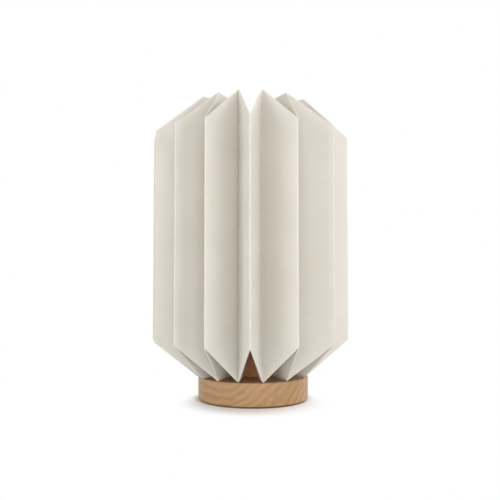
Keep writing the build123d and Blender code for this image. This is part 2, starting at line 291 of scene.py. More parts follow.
def oiledBeech(name, pith, grainTurn, tones):
    # beech, turned, sanded and oiled: soft honey-pink growth rings, short ray flecks, a satin skin
    dark, middle, pale = tones
    made, tree, place = newMaterial(name)
    along = addNode(tree, "Mapping", {"Rotation": grainTurn}, {"Vector": place})
    moved = addNode(tree, "VectorMath", {"operation": "SUBTRACT", 1: [c * mm for c in pith]},
                    {0: along.outputs["Vector"]})
    flat = addNode(tree, "VectorMath", {"operation": "MULTIPLY", 1: (1, beechLook["grainDrift"], 1)},
                   {0: moved.outputs["Vector"]})
    radius = addNode(tree, "VectorMath", {"operation": "LENGTH"}, {0: flat.outputs["Vector"]})
    wander = addNode(tree, "TexNoise", {"Scale": grainOf(beechLook["wanderSize"]), "Detail": 4},
                     {"Vector": flat.outputs["Vector"]})
    bent = addNode(tree, "Math", {"operation": "MULTIPLY_ADD", 1: beechLook["ringWander"] * mm},
                   {0: wander.outputs["Fac"], 2: radius.outputs["Value"]})
    counted = addNode(tree, "Math",
                      {"operation": "MULTIPLY", 1: 2 * math.pi * grainOf(beechLook["ringWidth"])},
                      {0: bent.outputs["Value"]})
    wave = addNode(tree, "Math", {"operation": "SINE"}, {0: counted.outputs["Value"]})
    strength = addNode(tree, "TexNoise", {"Scale": grainOf(beechLook["fadeSize"]), "Detail": 1},
                       {"Vector": moved.outputs["Vector"]})
    ring = addNode(tree, "Math", {"operation": "MULTIPLY"},
                   {0: wave.outputs["Value"], 1: strength.outputs["Fac"]})
    limit = beechLook["ringRange"]
    rings = addNode(tree, "MapRange", {"From Min": -limit, "From Max": limit},
                    {"Value": ring.outputs["Value"]})
    toned = addNode(tree, "ValToRGB", {"stops": [(0.0, dark), (0.4, middle), (1.0, pale)]},
                    {"Fac": rings.outputs["Result"]})
    patch = addNode(tree, "TexNoise", {"Scale": grainOf(beechLook["patchSize"]), "Detail": 2},
                    {"Vector": flat.outputs["Vector"]})
    patches = addNode(tree, "ValToRGB", {"stops": [(0.35, "#f3e6d0"), (0.65, "#fff2ee")]},
                      {"Fac": patch.outputs["Fac"]})
    wood = addNode(tree, "Mix", {"data_type": "RGBA", "blend_type": "MULTIPLY", 0: 0.8},
                   {6: toned.outputs["Color"], 7: patches.outputs["Color"]})
    stretched = addNode(tree, "VectorMath", {"operation": "MULTIPLY", 1: (1, beechLook["rayStretch"], 1)},
                        {0: moved.outputs["Vector"]})
    ray = addNode(tree, "TexNoise", {"Scale": grainOf(beechLook["rayWidth"]), "Detail": 1},
                  {"Vector": stretched.outputs["Vector"]})
    rays = addNode(tree, "ValToRGB", {"stops": [(0.3, "#dcc4ae"), (0.44, "#ffffff")]},
                   {"Fac": ray.outputs["Fac"]})
    colour = addNode(tree, "Mix", {"data_type": "RGBA", "blend_type": "MULTIPLY", 0: 0.5},
                     {6: wood.outputs[2], 7: rays.outputs["Color"]})
    gloss = addNode(tree, "MapRange", {"To Min": 0.4, "To Max": 0.56}, {"Value": ray.outputs["Fac"]})
    pores = addNode(tree, "Bump", {"Strength": 0.15, "Distance": beechLook["poreDepth"] * mm},
                    {"Height": ray.outputs["Fac"]})
    skin = addNode(tree, "BsdfPrincipled", {"IOR": 1.5},
                   {"Base Color": colour.outputs[2], "Roughness": gloss.outputs["Result"],
                    "Normal": pores.outputs["Normal"]})
    addNode(tree, "OutputMaterial", links={"Surface": skin.outputs["BSDF"]})
    return made


def mottled(name, dark, light, grain, roughness, bump=0.1, metallic=0.0, ior=1.5):
    # a plain finish with its own grain size in millimetres, a slight change of tone and an uneven gloss
    unevenGloss, reliefDepth = 0.15, 0.05
    made, tree, place = newMaterial(name)
    fine = addNode(tree, "TexNoise", {"Scale": grainOf(grain), "Detail": 4}, {"Vector": place})
    tint = addNode(tree, "ValToRGB", {"stops": [(0.3, dark), (0.7, light)]}, {"Fac": fine.outputs["Fac"]})
    low, high = roughness * (1 - unevenGloss), roughness * (1 + unevenGloss)
    gloss = addNode(tree, "MapRange", {"To Min": low, "To Max": high}, {"Value": fine.outputs["Fac"]})
    relief = addNode(tree, "Bump", {"Strength": bump, "Distance": reliefDepth * mm},
                     {"Height": fine.outputs["Fac"]})
    skin = addNode(tree, "BsdfPrincipled", {"Metallic": metallic, "IOR": ior},
                   {"Base Color": tint.outputs["Color"], "Roughness": gloss.outputs["Result"],
                    "Normal": relief.outputs["Normal"]})
    addNode(tree, "OutputMaterial", links={"Surface": skin.outputs["BSDF"]})
    return made


card = ivoryCard()
cardEdge = cutCard()
discBeech = oiledBeech("oiledBeechDisc", pith=(-38, 0, 66), grainTurn=(0, 0, 0),
                       tones=("#a5815b", "#af8e69", "#ba9c74"))
# the stem's beech is drawn redder and brighter than the disc's: painted warm light for the shade's dim
# inside; the stem is turned with its grain upright
stemBeechPaintedWarm = oiledBeech("beechStemPaintedWarmLight", pith=(21, 0, 12), grainTurn=(math.radians(90), 0, 0),
                       tones=("#c58a5c", "#cf9768", "#d9a476"))
# sprayed and baked powder: a white skin with the fine waves of orange peel
powderCoat = mottled("whitePowderCoat", "#e3e2dd", "#edece8", grain=0.9, roughness=0.38, bump=0.25)
# zinc from a plating bath: a cool, slightly cloudy grey shine
zincPlate = mottled("zincPlatedSteel", "#b4b6b8", "#c9cbcc", grain=2.0, roughness=0.34, bump=0.05,
                    metallic=1.0)
# nylon from a spark-eroded mould: near black, with a fine dull grain
blackNylon = mottled("blackMouldedNylon", "#1b1a19", "#262422", grain=0.8, roughness=0.45, bump=0.2,
                     ior=1.53)
# heat-proof polyester, moulded: white with a half-matt skin
whitePlastic = mottled("whiteMouldedPolyester", "#cfcec7", "#dad9d3", grain=0.8, roughness=0.4, bump=0.12,
                       ior=1.57)
# steatite, pressed and fired without a glaze: chalky and quite matt
steatite = mottled("unglazedSteatite", "#ddd8cc", "#e8e4da", grain=0.6, roughness=0.75, bump=0.3)
# brass strip, pressed and left bare: warm yellow metal with a soft shine
brass = mottled("pressedBrass", "#c79c50", "#d8b468", grain=1.5, roughness=0.28, bump=0.05, metallic=1.0)
# brass under a nickel plate: a warm silver, smoother than zinc
nickel = mottled("nickelPlatedBrass", "#bdb9b0", "#cfccc4", grain=1.5, roughness=0.22, bump=0.05,
                 metallic=1.0)
# polycarbonate with white pigment and a frosted mould: milky and even
opal = mottled("frostedOpalPolycarbonate", "#dad9d4", "#e2e1dc", grain=1.2, roughness=0.42, bump=0.08,
               ior=1.58)
# glass melted round the bulb's contact: black with a wet gloss
blackGlass = mottled("blackInsulatingGlass", "#131214", "#1c1b1e", grain=1.0, roughness=0.08, bump=0.02,
                     ior=1.52)
# lacquer over the circuit board: a flat clean white
solderMask = mottled("whiteSolderMask", "#e6e8e6", "#f0f1ef", grain=1.0, roughness=0.35, bump=0.05)
# closed-cell foam, cut from sheet: brown, with small open pits that take the shine off
foam = mottled("closedCellFoam", "#6b4a31", "#7d583b", grain=0.7, roughness=0.9, bump=0.5)
print("materials made:", len(bpy.data.materials))


# Shade: two sheets of card, folded and glued into a ring of upright pleats

folds = {
    "pleatDepth": 43.4,         # from the inner folds out to the outer folds
    "tipInset": 0.5,            # inner folds stand this far inside the disc's edge
    "bottomRise": 37.0,         # outer folds end this far above the points of the inner ones
    "topDrop": 37.4,            # and this far below them at the top
    "shift": -3.0,              # the shade hangs a little to the left of the base
    # degrees round from the front to each outer fold, uneven as on a shade folded by hand
    "angles": (-88.5, -69, -44.5, -24, 0, 25.5, 52.5, 85.5, 118.5, 147.5, 175, -157.5, -130.5, -109.5),
    "seamStart": 1.0,           # a sheet begins this far past the fold at its seam
    "seamStop": 2.5,            # and its flap ends this far before the next fold
    "glue": 0.05,
    "paper": 0.5,
}

sheetLook = {
    "creaseRadius": 0.55,       # bend of the card's middle layer at a fold
    "creaseSteps": 6,
    "growthLimit": 2.2,         # most that an outer fold is set out for its rounded crease
    "panelColumns": 8,
    "rows": 24,
    "bow": 0.5,                 # most that a panel bulges or sinks between its folds
    "bowChange": 0.4,           # share of the bow that comes and goes with height
    "ripple": 0.16,             # unevenness of hand folding
    "hemRadius": 0.3,           # crease where both ends of the sheet turn back into the shade
    "hemSteps": 6,
    "turnInRows": 8,
    "turnInBow": 0.5,
    "flapTrim": 2.5,            # the glued flap stops this short of the hems
    "flapGap": 0.3,             # its free edge has sprung open by this much at the top
    "creaseAngle": 50,          # sharper bends than this, in degrees, are shaded as edges
    "seed": 11,
}

# The ends of the sheet are folded back into the shade along slanting hems. Over each inner fold
# they stand as a narrow ridge that runs towards the shade's axis, with a valley between ridges.
# length: how far a ridge reaches in; ridgeFall: how much it falls for each millimetre of that;
# valleyReach and valleyFall: how far in from the outer fold, and below it, a valley's raw edge lies.
turnIns = {
    "top": {"length": 24.0, "ridgeFall": 0.145, "valleyReach": 60.2, "valleyFall": 8.0},
    "bottom": {"length": 22.0, "ridgeFall": 0.12, "valleyReach": 55.0, "valleyFall": 10.0},
}

# An upright line of a sheet: its place in plan, the way out of the shade there, the heights of the lower
# and upper hem, the panel it is on, its share of the way across, and whether that panel is the glued flap
sheetLine = namedtuple("sheetLine", "spot outward low high panel share flap")

shadeAxis = Vector((folds["shift"], 0, 0))       # where the axis of the shade meets the table
sheetBottom, sheetTop = [corner[2] for corner in extent("shade_sheet_right")]
innerRadius = turnedSize("base_disc")[0] - folds["tipInset"]
outerRadius = innerRadius + folds["pleatDepth"]
pleatCount = len(folds["angles"])
panelWidth = math.sqrt(outerRadius ** 2 + innerRadius ** 2
                       - 2 * outerRadius * innerRadius * math.cos(math.pi / pleatCount))
foldCount = 2 * pleatCount
seamFolds = (pleatCount - 1, foldCount - 1)
endRows = sheetLook["hemSteps"] + sheetLook["turnInRows"]      # points of a hem and its turned-in card
chance = random.Random(sheetLook["seed"])
panelBows = [chance.uniform(-1, 1) * sheetLook["bow"] for _ in range(foldCount)]


def outerAngle(number):
    # angle of an outer fold, counted round from the front one
    angles = folds["angles"]
    return math.radians(angles[(number + angles.index(0)) % pleatCount])


def foldPoint(index):
    # (x, y, bottom, top) of a fold; even folds are outer ones, odd ones lie one panel from both neighbours
    if index % 2 == 0:
        angle, radius = outerAngle(index // 2), outerRadius
        low, high = sheetBottom + folds["bottomRise"], sheetTop - folds["topDrop"]
    else:
        before, after = outerAngle(index // 2), outerAngle(index // 2 + 1)
        half = (after - before) % (2 * math.pi) / 2
        angle = before + half
        chord = outerRadius * math.sin(half)
        radius = outerRadius * math.cos(half) - math.sqrt(panelWidth ** 2 - chord ** 2)
        low, high = sheetBottom, sheetTop
    return (folds["shift"] + radius * math.sin(angle), -radius * math.cos(angle), low, high)


def setOut(index):
    # a rounded crease falls short of the sharp fold, so an outer fold is set out by that much
    here = foldPoint(index)
    if index % 2:
        return here
    tip, before, after = [Vector(foldPoint(near)[:2]) for near in (index, index - 1, index + 1)]
    half = (before - tip).angle(after - tip) / 2
    growth = (sheetLook["creaseRadius"] + folds["paper"] / 2) * (1 / math.sin(half) - 1)
    outwards = (tip - shadeAxis.xy).normalized() * min(growth, sheetLook["growthLimit"])
    return (here[0] + outwards.x, here[1] + outwards.y, here[2], here[3])


def between(start, end, distance):
    # the point at a distance from start on the way to end, with its cut levels
    share = distance / math.dist(start[:2], end[:2])
    return tuple(a + (b - a) * share for a, b in zip(start, end))


def movedIn(start, end, distance):
    # both ends of a panel, moved square to it into the shade
    length = math.dist(start[:2], end[:2])
    across = ((start[1] - end[1]) / length * distance, (end[0] - start[0]) / length * distance)
    return [(p[0] + across[0], p[1] + across[1], p[2], p[3]) for p in (start, end)]


def crossing(a, b, c, d):
    # where the line through a and b meets the one through c and d in plan, with the cut levels of b
    ux, uy, vx, vy = b[0] - a[0], b[1] - a[1], d[0] - c[0], d[1] - c[1]
    share = ((c[0] - a[0]) * vy - (c[1] - a[1]) * vx) / (ux * vy - uy * vx)
    return (a[0] + ux * share, a[1] + uy * share, b[2], b[3])


def sheetPath(first):
    # corners of a sheet in plan: the raw edge, its folds, and the flap behind the other sheet
    last = first + pleatCount
    path = [between(setOut(first), setOut(first + 1), folds["seamStart"])]
    path += [setOut(index) for index in range(first + 1, last)]
    flap = movedIn(setOut(last), setOut(last + 1), folds["paper"] + folds["glue"])
    path.append(crossing(path[-1], setOut(last), *flap))
    path.append(between(*flap, panelWidth - folds["seamStop"]))
    return path


def sheetLines(first):
    # the upright lines that a sheet is built on: evenly across each panel and round each crease
    path = sheetPath(first)
    corners = [Vector(p[:2]) for p in path]
    runs = [(b - a).normalized() for a, b in zip(corners, corners[1:])]
    lengths = [(b - a).length for a, b in zip(corners, corners[1:])]
    trims = [0]
    for before, after in zip(runs, runs[1:]):
        trims.append(sheetLook["creaseRadius"] * math.tan(before.angle(after) / 2))
    trims.append(0)

    def lineAt(spot, outward, run, distance):
        share = distance / lengths[run]
        low = path[run][2] + (path[run + 1][2] - path[run][2]) * share
        high = path[run][3] + (path[run + 1][3] - path[run][3]) * share
        if run == 0:
            share = (distance + folds["seamStart"]) / panelWidth
        return sheetLine(spot, outward, low, high, (first + run) % foldCount, share, run == len(runs) - 1)

    lines = []
    for run, along in enumerate(runs):
        outward = Vector((along.y, -along.x))
        start, stop = trims[run], lengths[run] - trims[run + 1]
        for column in range(sheetLook["panelColumns"] + 1):
            distance = start + (stop - start) * column / sheetLook["panelColumns"]
            lines.append(lineAt(corners[run] + along * distance, outward, run, distance))
        if run == len(runs) - 1:
            break
        following = runs[run + 1]
        nextOut = Vector((following.y, -following.x))
        turnsIn = along.cross(following) > 0          # an outer fold turns towards the middle
        bend = sheetLook["creaseRadius"] * (1 if turnsIn else -1)
        centre = corners[run] + along * stop - outward * bend
        for step in range(1, sheetLook["creaseSteps"]):
            share = step / sheetLook["creaseSteps"]
            spoke = swung(outward, nextOut, share)
            trim = trims[run + 1]
            if share < 0.5:
                lines.append(lineAt(centre + spoke * bend, spoke, run, stop + trim * share * 2))
            else:
                lines.append(lineAt(centre + spoke * bend, spoke, run + 1, trim * (share * 2 - 1)))
    return lines


def sheetSwell(line, height):
    # how far the card stands off its flat panel: a bulge, hand-made ripple and the flap's open edge
    across = math.sin(math.pi * min(max(line.share, 0), 1))
    rise = (height - sheetBottom) / (sheetTop - sheetBottom)
    change = sheetLook["bowChange"]
    swell = panelBows[line.panel] * across * (1 - change + change * math.cos(3 * rise + line.panel))
    # the noise differs from panel to panel, and is drawn out along the folds
    swell += sheetLook["ripple"] * across * noise.noise((line.panel * 3.1, line.share * 1.5, rise * 4))
    if line.flap:
        swell -= sheetLook["flapGap"] * rise ** 3 * line.share ** 2
    return swell


def towardsAxis(spot, reach):
    return spot + (shadeAxis.xy - spot).normalized() * reach


def turnedIn(line, end):
    # the hem and the turned-in card that follow on an upright line of the sheet, out to the raw edge
    shape = turnIns[end]
    # level is where a fold keeps the height of its end: (x, y, bottom, top)
    upwards, level, edge = (1, 3, line.high) if end == "top" else (-1, 2, line.low)
    outerFirst = line.panel % 2 == 0
    outerIndex = line.panel if outerFirst else line.panel + 1
    innerIndex = line.panel + 1 if outerFirst else line.panel
    outerFold, innerFold = setOut(outerIndex), setOut(innerIndex)
    outer, inner = Vector(outerFold[:2]), Vector(innerFold[:2])
    before, after = Vector(setOut(outerIndex - 1)[:2]), Vector(setOut(outerIndex + 1)[:2])
    half = (before - outer).angle(after - outer) / 2
    inwards = (inner - outer).normalized()
    distance = (line.spot - outer).dot(inwards)
    slope = (innerFold[level] - outerFold[level]) / panelWidth
    gap = 2 * sheetLook["hemRadius"]
    nested = gap / math.tan(half)         # inside an outer fold the turned-in layer has less room
    if distance < nested:
        square = Vector((inwards.y, -inwards.x)) * (1 if outerFirst else -1)
        root, rootEdge = outer + inwards * nested - square * gap, outerFold[level] + slope * nested
    else:
        root, rootEdge = line.spot - line.outward * gap, edge
    points = []
    for step in range(1, sheetLook["hemSteps"] + 1):
        turn = math.pi * step / sheetLook["hemSteps"]
        part = (1 - math.cos(turn)) / 2
        sunk = sheetLook["hemRadius"] * (1 - math.sin(turn)) + folds["paper"] / 2
        height = edge + (rootEdge - edge) * part - upwards * sunk
        points.append((line.spot + (root - line.spot) * part).to_3d() + Vector((0, 0, height)))
    ridge = towardsAxis(inner, shape["length"]).to_3d()
    ridge.z = innerFold[level] - upwards * shape["ridgeFall"] * shape["length"]
    valley = towardsAxis(outer, shape["valleyReach"]).to_3d()
    valley.z = outerFold[level] - upwards * shape["valleyFall"]
    towards = min(max(distance / panelWidth, 0), 1)
    if line.share == folds["seamStart"] / panelWidth:
        towards = 1             # the sheet's own raw edge follows the ridge
    rawEdge = valley.lerp(ridge, towards)
    start = points[-1]
    for row in range(1, sheetLook["turnInRows"] + 1):
        along = row / sheetLook["turnInRows"]
        bulge = sheetLook["turnInBow"] * math.sin(math.pi * towards) * math.sin(math.pi * along)
        # one slow wave of the noise to a piece of turned-in card, another one for each panel
        bulge *= noise.noise((line.panel * 1.7, towards * 1.2, along * 1.5 + upwards))
        points.append(start.lerp(rawEdge, along) + line.outward.to_3d() * bulge)
    return points


def sheetColumn(line):
    # points up one line of the card's middle layer, from the raw edge below to the raw edge above
    hem = sheetLook["flapTrim"] if line.flap else sheetLook["hemRadius"] + folds["paper"] / 2
    column = []
    for row in range(sheetLook["rows"] + 1):
        height = line.low + hem + (line.high - line.low - 2 * hem) * row / sheetLook["rows"]
        place = line.spot + line.outward * sheetSwell(line, height)
        column.append(Vector((place.x, place.y, height)))
    if line.flap:
        return [column[0]] * endRows + column + [column[-1]] * endRows
    below, above = [turnedIn(line._replace(spot=line.spot + line.outward * sheetSwell(line, height)), end)
                    for end, height in (("bottom", line.low), ("top", line.high))]
    return below[::-1] + column + above


def distinct(run, index, step):
    # the next point along a run of points that isn't the same point again
    here, place = run[index], index
    while 0 <= place + step < len(run):
        place += step
        if (run[place] - here).length > close:
            return run[place]
    return here


def foldedSheet(name, first):
    # the middle layer given its thickness: a skin on both sides, and cut faces round the rim
    lines = sheetLines(first)
    columns = [sheetColumn(line) for line in lines]
    levels = [list(level) for level in zip(*columns)]
    high = len(levels)
    points = []
    for side in (0.5, -0.5):
        for index, column in enumerate(columns):
            for row, here in enumerate(column):
                along = distinct(levels[row], index, 1) - distinct(levels[row], index, -1)
                upright = distinct(column, row, 1) - distinct(column, row, -1)
                points.append(here + along.cross(upright).normalized() * folds["paper"] * side)
    faces, edgeFaces, rims, half = [], [], {}, len(columns) * high
    for index in range(len(columns) - 1):
        skipped = endRows if lines[index].flap or lines[index + 1].flap else 0
        for row in range(skipped, high - 1 - skipped):
            a = index * high + row
            around = (a, a + high, a + high + 1, a + 1)
            faces.append(around)
            faces.append(tuple(half + corner for corner in reversed(around)))
            for corner, following in zip(around, around[1:] + around[:1]):
                if (following, corner) in rims:
                    del rims[(following, corner)]       # shared with a neighbour, so not on the rim
                else:
                    rims[(corner, following)] = True
    for corner, following in rims:
        edgeFaces.append(len(faces))
        faces.append((following, corner, half + corner, half + following))
    return makePiece(name, points, faces, [card, cardEdge], edgeFaces, sheetLook["creaseAngle"])


standFor(foldedSheet("cardSheetRight", seamFolds[1]), "shade", "ivory_paper", "shade_sheet_right")
standFor(foldedSheet("cardSheetLeft", seamFolds[0]), "shade", "ivory_paper", "shade_sheet_left")
print("shade folded:", foldCount, "panels")


# Wire frame inside the shade

wireLook = {
    "armFlat": 7.0,             # level stretch of an arm beside the washer
    "armSetIn": 2.5,            # how far an arm reaches under the washer's rim
    "bendRadius": 5.0,
    "arms": 3,
    "firstArm": 90,             # degrees
    "sides": 16,
    "weldSwell": 0.35,          # the ring's butt weld, thicker than the wire by this share
    "weldLength": 2.2,
    "ringSegments": 160,
    "flatShare": 0.868,         # the CAD wire has six sides: its flats are this share of its radius away
    "washerPlay": 3.5,          # the washer's hole is this much wider than the holder all round
    "washerRound": 0.25,
}


def wireSizes(node):
    # thickness (as a radius), ring radius and height of a CAD wire ring
    low, high = extent(node)
    wire = (high[2] - low[2]) / 2
    return wire, (high[0] - low[0]) / 2 - wire * wireLook["flatShare"], (high[2] + low[2]) / 2


def wireRing(name, node):
    wire, radius, level = wireSizes(node)
    turns = [2 * math.pi * side / wireLook["sides"] for side in range(wireLook["sides"])]
    circle = [Vector((radius + wire * math.cos(turn), level + wire * math.sin(turn))) for turn in turns]

    def weld(reach, height, angle):
        # the ring is butt-welded at the rear
        distance = radius * abs((angle - math.pi / 2 + math.pi) % (2 * math.pi) - math.pi)
        swell = 1 + wireLook["weldSwell"] * math.exp(-(distance / wireLook["weldLength"]) ** 2)
        return radius + (reach - radius) * swell
    ring = turnedPiece(name, circle, [powderCoat], wireLook["ringSegments"], weld, centre=shadeAxis)
    return standFor(ring, "shade", "steel_wire", node)


def frameArms():
    washerLow, washerHigh = extent("fitter_washer")
    wire, ringRadius, ringLevel = wireSizes("lower_ring")
    level = washerLow[2] - wire
    start = washerHigh[0] - folds["shift"] - wireLook["armSetIn"]
    corners = [(start, level, 0), (start + wireLook["armFlat"], level, wireLook["bendRadius"]),
               (ringRadius, ringLevel, 0)]
    bent = roundedOutline(corners, steps=8)
    for number in range(wireLook["arms"]):
        angle = math.radians(wireLook["firstArm"] + 360 * number / wireLook["arms"])
        heading = Vector((math.cos(angle), math.sin(angle), 0))
        path = [heading * spot.x + shadeAxis + Vector((0, 0, spot.y)) for spot in bent]
        yield bentWire(f"frameArm{number + 1}", path, wire, [powderCoat], wireLook["sides"])


def fitterWasher():
    low, high = extent("fitter_washer")
    hole = turnedSize("holder_barrel")[0] + wireLook["washerPlay"]
    rim, lift = high[0] - folds["shift"], wireLook["washerRound"]
    corners = [(hole, low[2], lift), (rim, low[2], lift), (rim, high[2], lift), (hole, high[2], lift)]
    return turnedPiece("fitterWasher", roundedOutline(corners), [powderCoat], centre=shadeAxis)


wireRing("upperWireRing", "upper_ring")
wireRing("lowerWireRing", "lower_ring")
for arm in list(frameArms()):
    standFor(arm, "shade", "steel_wire", "fitter_arms")
standFor(fitterWasher(), "shade", "steel_wire", "fitter_washer")
print("wire frame made")


# Base and stem

baseLook = {
    "edgeRound": 1.1,
    "bottomRound": 0.9,
    "recessRadius": 32.0,       # room under the base for the tube's nut
    "recessDepth": 12.0,
    "socketRadius": 12.1,       # the stem stands in this shallow socket
    "socketDepth": 2.0,
    "boreRadius": 5.05,
    "stemTopRound": 0.9,
    "outletHeight": 8.5,        # the cord's way out at the rear
    "outletRadius": 4.6,
    "outletStart": 12.0,
    "spotRadius": 6.3,
    "spotDepth": 1.0,
    "overshoot": 3.0,           # the cutter runs out of the wood by this much
    "sharpAngle": 35,
}

bushLook = {
    "bore": 3.2,
    "neck": 4.5,
    "flange": 1.7,
    "rimRound": 1.0,
    "mouthRound": 0.9,
}


def outletCutter():
    # the hole and spot face for the cord bush, bored in from the rear
    rear = turnedSize("base_disc")[0]
    start, end = baseLook["outletStart"], rear + baseLook["overshoot"]
    spotFace = rear - baseLook["spotDepth"]
    bore, spot = baseLook["outletRadius"], baseLook["spotRadius"]
    corners = [(0, start, 0), (bore, start, 0), (bore, spotFace, 0), (spot, spotFace, 0), (spot, end, 0),
               (0, end, 0)]
    return turnedPiece("outletCutter", roundedOutline(corners), [discBeech], segments=48, axis="Y",
                       centre=(0, 0, baseLook["outletHeight"]))


def beechDisc():
    radius, bottom, top = turnedSize("base_disc")
    recessTop, socketFloor = bottom + baseLook["recessDepth"], top - baseLook["socketDepth"]
    corners = [
        (baseLook["recessRadius"], bottom, rubbed), (radius, bottom, baseLook["bottomRound"]),
        (radius, top, baseLook["edgeRound"]), (baseLook["socketRadius"], top, broken),
        (baseLook["socketRadius"], socketFloor, 0), (baseLook["boreRadius"], socketFloor, 0),
        (baseLook["boreRadius"], recessTop, 0), (baseLook["recessRadius"], recessTop, 0),
    ]
    disc = turnedPiece("beechDisc", roundedOutline(corners), [discBeech], segments=160)
    cutter = outletCutter()
    cut = disc.modifiers.new("outlet", "BOOLEAN")
    cut.operation, cut.object, cut.solver = "DIFFERENCE", cutter, "EXACT"
    bpy.context.view_layer.update()
    shaped = bpy.data.meshes.new_from_object(disc.evaluated_get(bpy.context.evaluated_depsgraph_get()))
    disc.modifiers.remove(cut)
    disc.data = shaped
    shaped.set_sharp_from_angle(angle=math.radians(baseLook["sharpAngle"]))
    bpy.data.objects.remove(cutter)
    return disc


def beechStem():
    radius, bottom, top = turnedSize("stem")
    bore = baseLook["boreRadius"]
    corners = [(bore, bottom, crisp), (radius, bottom, broken), (radius, top, baseLook["stemTopRound"]),
               (bore, top, broken)]
    return turnedPiece("beechStem", roundedOutline(corners), [stemBeechPaintedWarm])


def footPad():
    radius, bottom, top = turnedSize("foot_pad")
    corners = [(0, bottom, 0), (radius, bottom, eased), (radius, top, broken), (0, top, 0)]
    return turnedPiece("footPad", roundedOutline(corners), [foam])


def cordBush():
    low, high = extent("cord_bush")
    inner, outer, bore, neck = low[1], high[1], bushLook["bore"], bushLook["neck"]
    face = outer - bushLook["flange"]
    corners = [(bore, inner, rubbed), (neck, inner, eased), (neck, face, 0), (high[0], face, broken),
               (high[0], outer, bushLook["rimRound"]), (bore, outer, bushLook["mouthRound"])]
    return turnedPiece("cordBush", roundedOutline(corners), [blackNylon], segments=64, axis="Y",
                       centre=(0, 0, baseLook["outletHeight"]))


standFor(beechDisc(), "base", "beech", "base_disc")
standFor(beechStem(), "base", "beech", "stem")
standFor(footPad(), "base", "foot_foam", "foot_pad")
standFor(cordBush(), "base", "black_plastic", "cord_bush")
print("base made")


# Lamp holder and the two rings that clamp the shade

holderLook = {
    "wall": 1.6,
    "footRadius": 10.0,
    "shoulder": 5.5,            # height of the cap's rounded foot
    "shoulderSteps": 14,
    "bore": 5.0,
    "floor": 4.0,
    "floorRound": 1.2,
    "ledge": 1.4,               # the contact block sits on this ledge inside the cap
    "ledgeHeight": 11.5,
    "flutes": 36,
    "fluteDepth": 0.22,
    "fluteMargin": 0.5,         # smooth bands below and above the flutes
    "fluteTopMargin": 0.6,
    "fluteFade": 1.5,
    "plugInset": 1.5,           # the barrel's plug, which fits into the cap
    "plugPlay": 0.1,
    "mouthRound": 0.6,
    "threadPitch": 2.0,
    "threadDepth": 0.45,
    "threadStart": 1.5,
    "threadTopMargin": 0.6,
}

nutLook = {
    "play": 0.1,
    "hubWall": 2.5,
    "flange": 1.6,
    "ribs": 24,
    "ribDepth": 0.55,
    "ribReach": 0.3,            # ribs only change the outline this near to the hub's face
    "ribMargin": 0.5,
}


def holderCap():
    radius, bottom, top = turnedSize("holder_cap")
    inside, bore, foot = radius - holderLook["wall"], holderLook["bore"], holderLook["footRadius"]
    ledge, ledgeTop = inside - holderLook["ledge"], bottom + holderLook["ledgeHeight"]
    floor, shoulderTop = bottom + holderLook["floor"], bottom + holderLook["shoulder"]
    steps = holderLook["shoulderSteps"]
    turns = [math.pi / 2 * step / steps for step in range(steps + 1)]
    shoulder = [Vector((foot + (radius - foot) * math.sin(turn),
                        bottom + holderLook["shoulder"] * (1 - math.cos(turn)))) for turn in turns]
    corners = [(radius, shoulderTop, 0), (radius, top, broken), (inside, top, crisp),
               (inside, ledgeTop, broken), (ledge, ledgeTop, broken),
               (ledge, floor, holderLook["floorRound"]), (bore, floor, broken), (bore, bottom, broken)]
    start, stop = shoulderTop + holderLook["fluteMargin"], top - holderLook["fluteTopMargin"]

    def flutes(reach, height, angle):
        if reach < radius - 2 * close or not start < height < stop:
            return reach
        fade = min(1, (height - start) / holderLook["fluteFade"], (stop - height) / holderLook["fluteFade"])
        wave = 0.5 + 0.5 * math.cos(angle * holderLook["flutes"])
        return reach - holderLook["fluteDepth"] * fade * wave ** 3
    outline = shoulder[:-1] + roundedOutline(corners)
    return turnedPiece("holderCap", finely(outline, step=1.0), [whitePlastic], segments=216, shape=flutes)


def holderBarrel():
    radius, bottom, top = turnedSize("holder_barrel")
    seam = turnedSize("holder_cap")[2]
    inside = radius - holderLook["wall"]
    plugBore, plug = inside - holderLook["plugInset"], inside - holderLook["plugPlay"]
    corners = [(plugBore, bottom, crisp), (plug, bottom, crisp), (plug, seam, 0), (radius, seam, broken),
               (radius, top, holderLook["mouthRound"]), (inside, top, rubbed),
               (inside, seam + holderLook["wall"], broken), (plugBore, seam, broken)]
    outline = finely(roundedOutline(corners), step=0.25)
    thread = threadShape(holderLook, radius, seam, top)
    return turnedPiece("holderBarrel", outline, [whitePlastic], shape=thread)


def ringNut(name, node, flangeUp):
    # a threaded ring with a ribbed hub; its flange lies against the washer
    flange, bottom, top = turnedSize(node)
    bore = turnedSize("holder_barrel")[0] + nutLook["play"]
    hub = bore + nutLook["hubWall"]
    near, far = (top, bottom) if flangeUp else (bottom, top)
    step = near + nutLook["flange"] * (-1 if flangeUp else 1)
    corners = [(bore, near, broken), (flange, near, eased), (flange, step, eased), (hub, step, rubbed),
               (hub, far, eased), (bore, far, rubbed)]

    def ribs(reach, height, angle):
        if abs(reach - hub) > nutLook["ribReach"] or abs(height - step) < nutLook["ribMargin"]:
            return reach
        return reach - nutLook["ribDepth"] * (0.5 + 0.5 * math.cos(angle * nutLook["ribs"])) ** 2
    outline = finely(roundedOutline(corners), step=0.8)
    return turnedPiece(name, outline, [whitePlastic], segments=240, shape=ribs)


standFor(holderCap(), "base", "white_plastic", "holder_cap")
standFor(holderBarrel(), "base", "white_plastic", "holder_barrel")
standFor(ringNut("lowerRingNut", "shade_seat", True), "base", "white_plastic", "shade_seat")
standFor(ringNut("upperRingNut", "shade_nut", False), "shade_nut", "white_plastic", "shade_nut")
print("lamp holder made")


# Bulb

